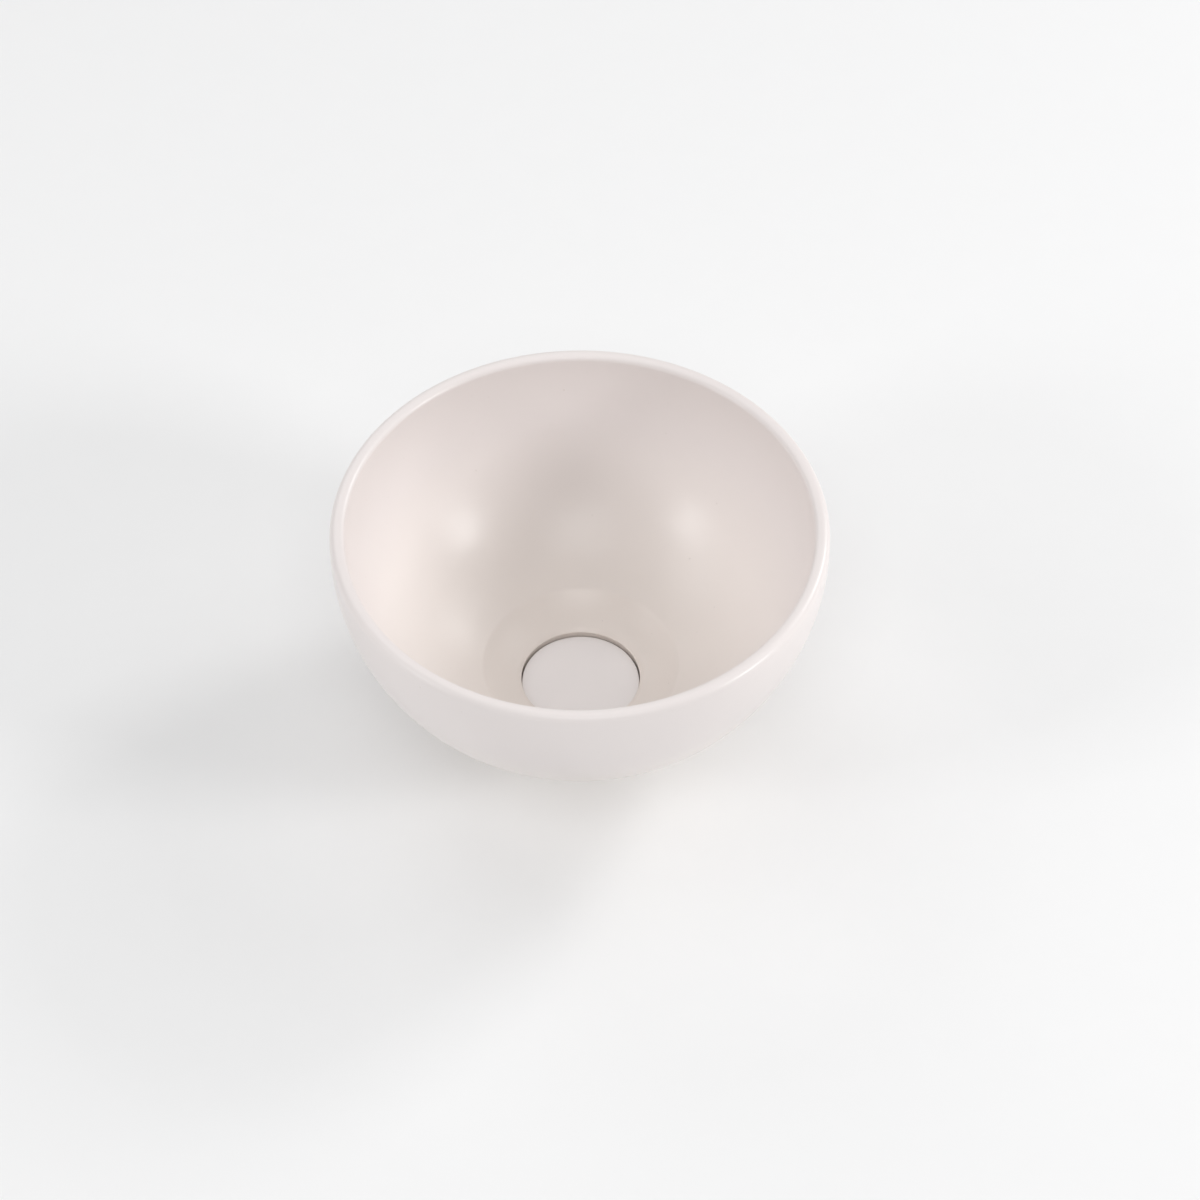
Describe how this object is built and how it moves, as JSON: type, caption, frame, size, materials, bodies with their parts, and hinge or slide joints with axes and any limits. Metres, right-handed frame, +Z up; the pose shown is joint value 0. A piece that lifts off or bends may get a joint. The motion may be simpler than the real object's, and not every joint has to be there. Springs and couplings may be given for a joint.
{
  "type": "washbasin",
  "caption": "Round countertop washbasin: hemispherical satin ceramic bowl on a low foot ring, with a push-open waste under a flat ceramic cap.",
  "frame": {"origin": "centre of the foot ring's seat, on the countertop's upper face", "axes": "+Z up along the axis of bowl and waste; the part is round, so +X and +Y are free"},
  "size_m": [0.28, 0.28, 0.2318],
  "materials": {
    "bowl_ceramic": "satin warm off-white glaze",
    "cap_ceramic": "satin pale neutral glaze",
    "plated_brass": "bright plated brass",
    "turned_brass": "turned",
    "steel_wire": "drawn wire",
    "clear_silicone": "translucent white silicone",
    "black_rubber": "matt",
    "acetal": "natural white, moulded",
    "grey_acetal": "grey, moulded",
    "nylon": "natural"
  },
  "bodies": {
    "basin": {"basin_bowl": "bowl_ceramic", "stem_wiper": "black_rubber", "latch_housing": "acetal", "latch_spring": "steel_wire", "latch_base": "turned_brass", "waste_body": "plated_brass", "flange_gasket": "clear_silicone", "under_gasket": "black_rubber", "slip_washer": "nylon", "back_nut": "plated_brass"},
    "plug": {"waste_cap": "cap_ceramic", "cap_carrier": "turned_brass", "cap_seal": "clear_silicone", "height_lock_nut": "turned_brass", "plunger": "turned_brass"},
    "rotor": {"latch_rotor": "grey_acetal"}
  },
  "joints": [
    {"name": "cap_rise", "type": "slide", "parent": "basin", "child": "plug", "axis": [0, 0, 1], "range_m": [0, 0.008], "deforming": ["latch_spring"]},
    {"name": "rotor_turn", "type": "hinge", "parent": "plug", "child": "rotor", "pos_m": [0, 0, -0.016], "axis": [0, 0, 1], "range_deg": [0, 22.5]}
  ],
  "couplings": [
    {"joint": "rotor_turn", "follows": "cap_rise", "rad_per_m": 49.087}
  ]
}
